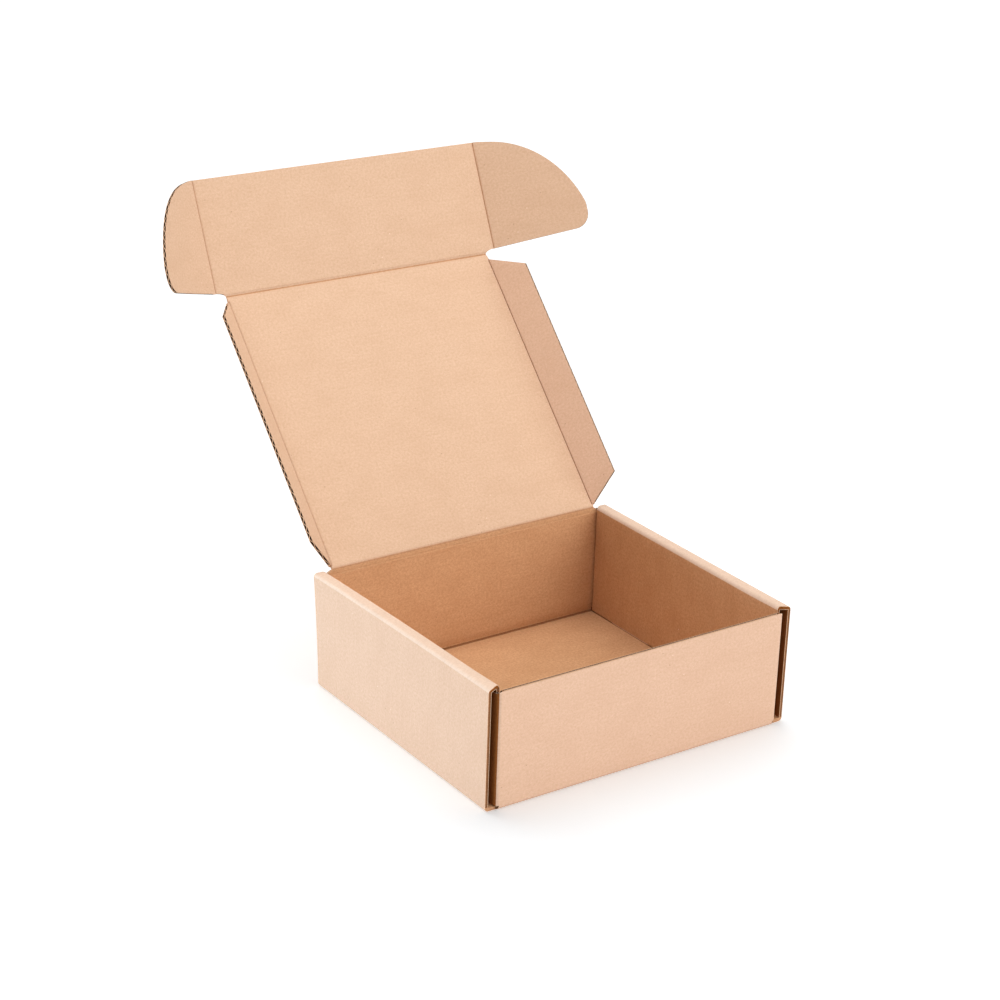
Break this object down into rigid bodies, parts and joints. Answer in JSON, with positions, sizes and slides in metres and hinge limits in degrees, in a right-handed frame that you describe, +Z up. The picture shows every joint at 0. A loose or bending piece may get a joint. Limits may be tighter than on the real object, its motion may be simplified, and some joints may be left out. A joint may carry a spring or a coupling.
{
  "type": "tuck-front mailer box",
  "caption": "Shallow corrugated kraft mailer box standing open, with double side walls, a hinged lid with side flaps, and a front flap whose rounded ears tuck into the sides.",
  "frame": {"origin": "middle of the bottom's underside", "axes": "+Z up out of the open tray, -Y to the front wall, +X to the right seen from the front"},
  "size_m": [0.3826, 0.4243, 0.3399],
  "materials": {
    "kraft_outside": "matt",
    "kraft_inside": "matt"
  },
  "bodies": {
    "tray": {"tray": "kraft_outside"},
    "lid": {"lid_panel": "kraft_inside"},
    "front_flap": {"front_flap": "kraft_inside"},
    "side_flap_left": {"side_flap_left": "kraft_inside"},
    "side_flap_right": {"side_flap_right": "kraft_inside"},
    "ear_left": {"ear_left": "kraft_inside"},
    "ear_right": {"ear_right": "kraft_inside"}
  },
  "joints": [
    {"name": "lid_hinge", "type": "hinge", "parent": "tray", "child": "lid", "pos_m": [0, 0.1125, 0.0915], "axis": [-1, 0, 0], "range_deg": [-134, 46]},
    {"name": "front_flap_crease", "type": "hinge", "parent": "lid", "child": "front_flap", "pos_m": [0, 0.27158, 0.25623], "axis": [1, 0, 0], "range_deg": [-25.2, 71.5]},
    {"name": "side_flap_left_crease", "type": "hinge", "parent": "lid", "child": "side_flap_left", "pos_m": [-0.1192, 0.1125, 0.0915], "axis": [0, 0.6947, 0.7193], "range_deg": [-28.5, 81]},
    {"name": "side_flap_right_crease", "type": "hinge", "parent": "lid", "child": "side_flap_right", "pos_m": [0.1192, 0.1125, 0.0915], "axis": [0, -0.6947, -0.7193], "range_deg": [-20.9, 59]},
    {"name": "ear_left_crease", "type": "hinge", "parent": "front_flap", "child": "ear_left", "pos_m": [-0.12755, 0.27158, 0.25623], "axis": [0, 0.4147, 0.91], "range_deg": [-39, 51]},
    {"name": "ear_right_crease", "type": "hinge", "parent": "front_flap", "child": "ear_right", "pos_m": [0.12755, 0.27158, 0.25623], "axis": [0, -0.4147, -0.91], "range_deg": [-39, 51]}
  ],
  "couplings": [
    {"joint": "front_flap_crease", "follows": "lid_hinge", "ratio": -0.52612},
    {"joint": "side_flap_left_crease", "follows": "lid_hinge", "ratio": -0.59701},
    {"joint": "side_flap_right_crease", "follows": "lid_hinge", "ratio": -0.43284}
  ]
}
